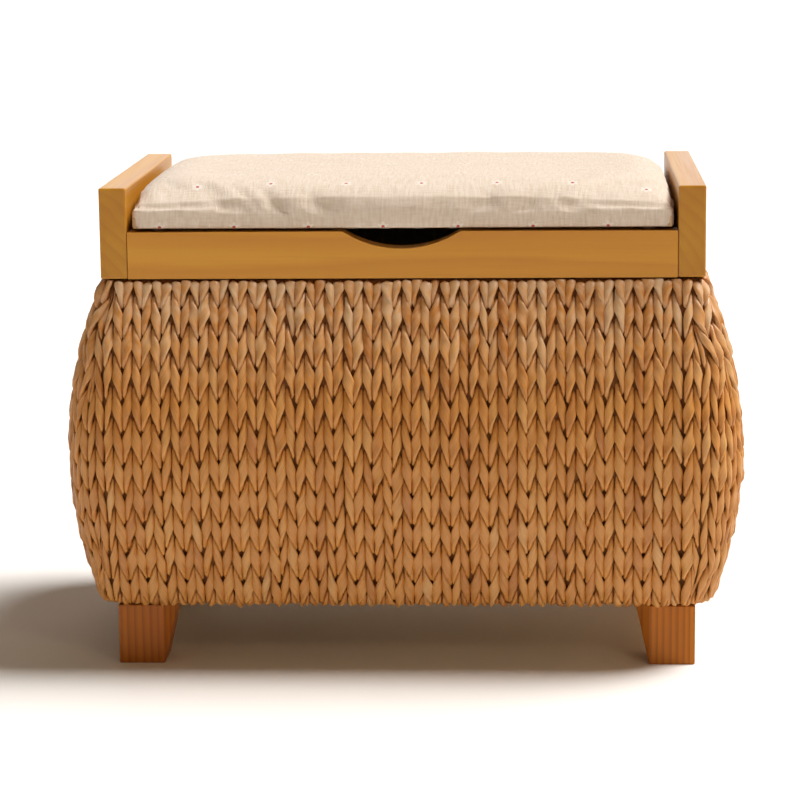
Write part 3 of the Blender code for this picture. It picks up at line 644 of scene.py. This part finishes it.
canvas = canvas_finish("cotton_canvas", (0.62, 0.53, 0.39), (0.45, 0.36, 0.25), 0.0012)
liner = new_piece("cloth_liner", make_liner(), canvas, "base")
thicken(liner, LINER_CLOTH)
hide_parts("fabric_liner")

# ---------------------------------------------------------------- lid board
# A panel of the same plywood as the storage floor.  The cover of the padding is pulled down over
# its edges, and the moving leaves of the hinges are screwed to its underside.

wear("lid_board", plywood)

# ---------------------------------------------------------------- seat cushion
# A foam pad under a linen cover that is pulled down over the edges of the lid board.  The cover
# is pleated at the corners and printed with rows of small daisies.

CUSHION_INSET = 0.0012      # the pad starts this much smaller and swells
CUSHION_CROWN = 0.0185
CUSHION_EDGE = 0.0202       # height of the sides before they swell
CUSHION_ROUND = 0.0060
CUSHION_CORNER = 0.010
CLOTH_PITCH = 0.0065        # of the squares that the cover is cut into
BOARD_GAP = 0.0004          # between the cover and the board it is pulled over
BOARD_NEAR = 0.0006         # a point of the cover this near the board is held to it
BOARD_CLEAR = 0.0012        # the sides of the cover hang at least this far outside the board
RIPPLE = 0.0009             # unevenness of the cover's face
HEM_PULL = 0.0006           # share by which the sides move in and out between the staples
HEM_WAVES = (0.037, 0.041)  # length of that wave along X and Y
CUSHION_CAP = 0.0032        # no point of the cover moves further than this as it swells
SWELL_STEPS = 4
cushion_low, cushion_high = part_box("seat_cushion")
board_low, board_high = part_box("lid_board")
HEM_LEVEL = board_low.z + 0.0002
DAISY_ALONG = 0.0654        # from daisy to daisy, along a row
DAISY_ROWS = 0.0452         # from row to row
DAISY_FIRST = (0.0168, -0.1315)
THREAD_TURNS = 6200.0       # radians of the thread figure in a metre: one thread a millimetre
LINEN_THREAD = (0.80, 0.705, 0.605)
LINEN_SHADE = (0.64, 0.505, 0.390)
LINEN_SLUB = (0.49, 0.345, 0.250)
PETAL_LENGTH = 0.0026
PETAL_EDGE = (0.0030, 0.0024)
PETAL_ROOT = (0.0013, 0.0017)
EYE_EDGE = (0.0017, 0.0011)
PETAL_WHITE = (0.90, 0.86, 0.80)
EYE_RED = (0.50, 0.050, 0.035)


def make_cushion():
    inset = Vector((CUSHION_INSET, CUSHION_INSET, 0.0))
    low = Vector((cushion_low.x, cushion_low.y, HEM_LEVEL)) + inset
    high = Vector((cushion_high.x, cushion_high.y, HEM_LEVEL + CUSHION_EDGE)) - inset
    bm = solid_box(low, high)
    upright = [e for e in bm.edges if abs(e.verts[0].co.z - e.verts[1].co.z) > 0.01]
    bmesh.ops.bevel(bm, geom=upright, offset=CUSHION_CORNER, offset_type="OFFSET", segments=9,
                    profile=0.5, affect="EDGES", material=-1)
    rim = [e for e in bm.edges if min(v.co.z for v in e.verts) > high.z - 1e-5]
    bmesh.ops.bevel(bm, geom=rim, offset=CUSHION_ROUND, offset_type="OFFSET", segments=3, profile=0.5,
                    affect="EDGES", material=-1)
    bmesh.ops.delete(bm, geom=[f for f in bm.faces if f.normal.z < -0.9], context="FACES_ONLY")
    cut_grid(bm, CLOTH_PITCH)
    cloth = bm.verts.layers.float_vector.new("cloth")
    pinned = bm.verts.layers.deform.verify()
    middle = (low + high) / 2
    half = (high - low) / 2
    for v in bm.verts:
        fold = max(0.0, high.z - v.co.z)
        u, w = (v.co.x - middle.x) / half.x, (v.co.y - middle.y) / half.y
        down_side = fold * min(1.0, max(0.0, abs(u) - 0.97) / 0.02) if abs(u) > abs(w) else 0.0
        down_front = fold if abs(w) >= abs(u) else 0.0
        v[cloth] = Vector((v.co.x + math.copysign(down_side, u), v.co.y + math.copysign(down_front, w), 0))
        crown = (1 - abs(u) ** 22) * (1 - abs(w) ** 9)
        v.co.z += CUSHION_CROWN * crown * (1.0 if v.co.z > high.z - 1e-4 else 0.0)
    # The cover turns in under the pad and lies along the edges and the top of the lid board.
    edges = [e for e in bm.edges if e.is_boundary]
    for level in (HEM_LEVEL, board_high.z + BOARD_GAP):
        ring = bmesh.ops.extrude_edge_only(bm, edges=edges)["geom"]
        edges = [g for g in ring if isinstance(g, bmesh.types.BMEdge)]
        for v in (g for g in ring if isinstance(g, bmesh.types.BMVert)):
            v.co.x = max(board_low.x - BOARD_GAP, min(board_high.x + BOARD_GAP, v.co.x))
            v.co.y = max(board_low.y - BOARD_GAP, min(board_high.y + BOARD_GAP, v.co.y))
            v.co.z = level
    bmesh.ops.edgeloop_fill(bm, edges=edges)
    bmesh.ops.remove_doubles(bm, verts=bm.verts[:], dist=0.0002)
    bmesh.ops.triangulate(bm, faces=[f for f in bm.faces if len(f.verts) > 4])
    bmesh.ops.recalc_face_normals(bm, faces=bm.faces)
    for v in bm.verts:
        held = 1.0 - smooth_step(v.co.z, HEM_LEVEL + 0.0005, HEM_LEVEL + 0.006)
        inside = (board_low.x - BOARD_NEAR < v.co.x < board_high.x + BOARD_NEAR
                  and board_low.y - BOARD_NEAR < v.co.y < board_high.y + BOARD_NEAR
                  and v.co.z < board_high.z + BOARD_NEAR)
        v[pinned][0] = 1.0 if inside else float(held)
    return bm


def swell(piece):
    """Blow the cover up against its own seams, then keep it inside the space between the boards."""
    rest = np.array([v.co for v in piece.data.vertices])
    cloth = piece.modifiers.new("swell", "CLOTH")
    cloth.settings.quality = 6
    cloth.settings.mass = 0.3
    cloth.settings.tension_stiffness = 12
    cloth.settings.compression_stiffness = 12
    cloth.settings.bending_stiffness = 0.6
    cloth.settings.use_pressure = True
    cloth.settings.uniform_pressure_force = 3.0
    cloth.settings.shrink_min = -0.035
    cloth.settings.vertex_group_mass = "held"
    cloth.settings.effector_weights.gravity = 0.0
    cloth.collision_settings.use_collision = False
    for step in range(1, SWELL_STEPS + 1):
        bpy.context.scene.frame_set(step)
    swollen = piece.evaluated_get(bpy.context.evaluated_depsgraph_get())
    moved = np.array([v.co for v in swollen.data.vertices]) - rest
    piece.modifiers.clear()
    bpy.context.scene.frame_set(1)
    far = np.maximum(np.linalg.norm(moved, axis=1, keepdims=True), 1e-9)
    rest = rest + moved / far * np.minimum(far, CUSHION_CAP)
    middle = (cushion_low + cushion_high) / 2
    for point, vert in zip(rest, piece.data.vertices):
        x, y, z = point
        if z > board_high.z + 0.001:
            ripple = noise.noise(Vector((x * 26, y * 26, z * 26)))
            z += RIPPLE * ripple
        hang = 1.0 - smooth_step(z, HEM_LEVEL + 0.003, HEM_LEVEL + 0.016)
        pull = (HEM_PULL * hang * math.sin(x * 2 * math.pi / HEM_WAVES[0])
                * math.sin(y * 2 * math.pi / HEM_WAVES[1] + 1.0))
        x = max(cushion_low.x, min(cushion_high.x, x * (1 + pull)))
        y = max(cushion_low.y, min(cushion_high.y, middle.y + (y - middle.y) * (1 + 2 * pull)))
        start = vert.co
        skin = start.z < board_high.z + 0.004
        if skin and abs(start.x) > board_high.x + 0.001:
            x = math.copysign(max(abs(x), board_high.x + BOARD_CLEAR), x)
        if skin and abs(start.y - middle.y) > board_high.y - middle.y + 0.001:
            least = board_high.y - middle.y + BOARD_CLEAR
            y = middle.y + math.copysign(max(abs(y - middle.y), least), y - middle.y)
        vert.co = (x, y, z)


def printed_linen(name):
    """Slubby cream linen with staggered rows of small white daisies with a red eye."""
    f = Finish(name, Roughness=0.9, Sheen_Weight=0.2, Sheen_Roughness=0.6)
    split = f.node("ShaderNodeSeparateXYZ", None,
                   {0: f.node("ShaderNodeAttribute", {"attribute_name": "cloth"}, out="Vector")})
    u, v = (Value(f, split.socket.node.outputs[k]) for k in range(2))
    row = ((v - DAISY_FIRST[1]) / DAISY_ROWS + 0.5).math("FLOOR")
    up = v - DAISY_FIRST[1] - row * DAISY_ROWS
    shifted = u - DAISY_FIRST[0] + row.math("FLOORED_MODULO", 2.0) * (DAISY_ALONG / 2)
    side = shifted - (shifted / DAISY_ALONG + 0.5).math("FLOOR") * DAISY_ALONG
    radius = (side * side + up * up) ** 0.5
    petal = (side.math("ARCTAN2", up) * 3.0).math("COSINE").math("ABSOLUTE")
    bloom = f.span(radius - petal * PETAL_LENGTH, *PETAL_EDGE) * f.span(radius, *PETAL_ROOT)
    eye = f.span(radius, *EYE_EDGE)
    streaks = f.node("ShaderNodeCombineXYZ", None, {0: u * 420.0, 1: v * 60.0})
    slub = f.noise(streaks, 1.0, 3.0, 0.6)
    weft = f.noise(f.node("ShaderNodeCombineXYZ", None, {0: u * 70.0, 1: v * 520.0}), 1.0, 2.0)
    threads = (u * THREAD_TURNS).math("SINE") * (v * THREAD_TURNS).math("SINE")
    colour = f.mix(f.span(slub + weft * 0.5, 0.45, 1.05), LINEN_SHADE, LINEN_THREAD)
    colour = f.mix(f.span(weft, 0.62, 0.8, 0.0, 0.35), colour, LINEN_SLUB)
    colour = f.mix(bloom * 0.5, colour, PETAL_WHITE)
    colour = f.mix(eye, colour, EYE_RED)
    f.feed("Base Color", colour)
    f.bump(slub + weft * 0.6 + threads * 0.12, 0.0006, 0.8)
    return f


linen = printed_linen("printed_linen")
cushion = new_piece("linen_cushion", make_cushion(), linen, "lid")
cushion.vertex_groups.new(name="held")
swell(cushion)
round_off = cushion.modifiers.new("smooth", "SUBSURF")
round_off.levels = round_off.render_levels = 1
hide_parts("seat_cushion")

# ---------------------------------------------------------------- lid lining and bumpers
# Thin printed cloth, turned in at its edges and stapled under the lid board to hide the ends of
# the cover.  Two felt bumpers under the front corners land on the frame.

STAPLE_PITCH = 0.030
STAPLE_WIDE = 0.009
STAPLE_WIRE = 0.0005
STAPLE_INSET = 0.004        # from the edge of the lining to a staple
STAPLE_END = 0.010          # from the corner of the lining to the first staple
LINING_CLOTH = 0.0003
lining_low, lining_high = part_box("lid_lining")


def make_lining():
    bm = bmesh.new()
    size = lining_high - lining_low
    place = Matrix.Translation((lining_low + lining_high) / 2) @ Matrix.Diagonal((size.x, size.y, 1.0, 1.0))
    bmesh.ops.create_grid(bm, x_segments=60, y_segments=42, size=0.5, matrix=place)
    cloth = bm.verts.layers.float_vector.new("cloth")
    for v in bm.verts:
        v[cloth] = Vector((v.co.x, v.co.y, 0))
        v.co.z = lining_high.z - 0.0001 - 0.00015 * (1 + noise.noise(v.co * 30))
    bmesh.ops.reverse_faces(bm, faces=bm.faces)
    return bm


def make_staples():
    """One wire bridge for each staple, round the lining's edge."""
    bm = bmesh.new()
    spots = []
    for axis in (0, 1):
        length = lining_high[axis] - lining_low[axis] - 2 * STAPLE_END
        count = round(length / STAPLE_PITCH)
        for step in range(count + 1):
            for edge, inward in ((lining_low[1 - axis], 1), (lining_high[1 - axis], -1)):
                spot = [0.0, 0.0]
                spot[axis] = lining_low[axis] + STAPLE_END + length * step / count
                spot[1 - axis] = edge + inward * STAPLE_INSET
                spots.append((spot, axis))
    for spot, axis in spots:
        turn = Matrix.Rotation(math.pi / 2 * axis, 4, "Z")
        place = Matrix.Translation((*spot, lining_low.z - STAPLE_WIRE / 2)) @ turn
        size = Matrix.Diagonal((STAPLE_WIDE, STAPLE_WIRE * 2, STAPLE_WIRE, 1.0))
        made = bmesh.ops.create_cube(bm, size=1.0, matrix=place @ size)["verts"]
        bmesh.ops.bevel(bm, geom=list({e for v in made for e in v.link_edges}), offset=STAPLE_WIRE * 0.3,
                        offset_type="OFFSET", segments=1, profile=0.5, affect="EDGES", material=-1)
    return bm


lining = new_piece("printed_lining", make_lining(), linen, "lid")
thicken(lining, LINING_CLOTH)
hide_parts("lid_lining")
new_piece("lining_staples", make_staples(), zinc, "lid")

felt = Finish("felt", Roughness=0.95)
fuzz = felt.noise(felt.place(), 2600.0, 4.0, 0.7)
felt.feed("Base Color", felt.mix(fuzz, (0.16, 0.10, 0.06), (0.34, 0.25, 0.17)))
felt.bump(fuzz, 0.0004, 0.8)
wear("lid_bumper_left", felt)
wear("lid_bumper_right", felt)

# ---------------------------------------------------------------- stage, light and camera
# A pale floor and, far off, a white backdrop all round it, which lights nothing.  Broad sunlight
# falls from high on the right, a warm fill from the front, and a window's glow from behind.

FLOOR_HALF = 45.0
BACKDROP_RADIUS = 24.0
BACKDROP_HEIGHT = 20.0
LAMP_AIM = Vector((0, 0, 0.2))
CAMERA_PLACE = (0.1270, -2.6732, 0.6964)
CAMERA_YAW, CAMERA_DOWN, CAMERA_ROLL = 2.95, 10.24, -0.60     # degrees

paper = Finish("white_paper", Roughness=0.9)
paper.surface.inputs["Base Color"].default_value = (0.86, 0.84, 0.815, 1.0)
sheet = bmesh.new()
bmesh.ops.create_grid(sheet, x_segments=1, y_segments=1, size=FLOOR_HALF)
floor = put("floor", sheet, paper)

lit_paper = Finish("lit_paper", Roughness=1.0)
lit_paper.surface.inputs["Base Color"].default_value = (0.0, 0.0, 0.0, 1.0)
lit_paper.surface.inputs["Emission Color"].default_value = (1.0, 1.0, 1.0, 1.0)
lit_paper.surface.inputs["Emission Strength"].default_value = 1.0
ring = bmesh.new()
bmesh.ops.create_circle(ring, cap_ends=False, radius=BACKDROP_RADIUS, segments=64)
raised = bmesh.ops.extrude_edge_only(ring, edges=ring.edges[:])["geom"]
bmesh.ops.translate(ring, verts=[v for v in raised if isinstance(v, bmesh.types.BMVert)],
                    vec=(0, 0, BACKDROP_HEIGHT))
bmesh.ops.reverse_faces(ring, faces=ring.faces[:])
backdrop = put("backdrop", ring, lit_paper)
backdrop.visible_diffuse = False
backdrop.visible_glossy = False
backdrop.visible_shadow = False

world = bpy.data.worlds.new("studio")
bpy.context.scene.world = world
world.use_nodes = True
dim = world.node_tree.nodes["Background"]
dim.inputs["Color"].default_value = (1.0, 0.80, 0.56, 1.0)
dim.inputs["Strength"].default_value = 0.15


def lamp(name, kind, place, power, colour, **settings):
    """A lamp at a place, aimed at the middle of the ottoman."""
    light = bpy.data.lights.new(name, kind)
    light.energy = power
    light.color = colour
    for key, value in settings.items():
        setattr(light, key, value)
    holder = bpy.data.objects.new(name, light)
    bpy.context.scene.collection.objects.link(holder)
    holder.location = place
    holder.visible_camera = False
    holder.rotation_euler = (LAMP_AIM - Vector(place)).to_track_quat("-Z", "Y").to_euler()


lamp("window", "SUN", (1.7, 0.42, 3.1), 4.5, (1.0, 0.99, 0.98), angle=math.radians(30))
lamp("fill", "AREA", (1.7, -2.8, 2.0), 9.0, (1.0, 0.72, 0.42), size=0.7)
lamp("rear_window", "AREA", (-0.2, 3.3, 1.5), 20.0, (1.0, 1.0, 1.0), size=2.2)

camera = bpy.data.cameras.new("camera")
camera.lens = 130.6
camera.sensor_width = 36.0
view = bpy.data.objects.new("camera", camera)
bpy.context.scene.collection.objects.link(view)
view.location = CAMERA_PLACE
turn = Matrix.Rotation(math.radians(CAMERA_YAW), 4, "Z")
tilt = Matrix.Rotation(math.radians(90 - CAMERA_DOWN), 4, "X")
roll = Matrix.Rotation(math.radians(CAMERA_ROLL), 4, "Z")
view.rotation_euler = (turn @ tilt @ roll).to_euler()
bpy.context.scene.camera = view
bpy.context.scene.view_settings.view_transform = "Standard"
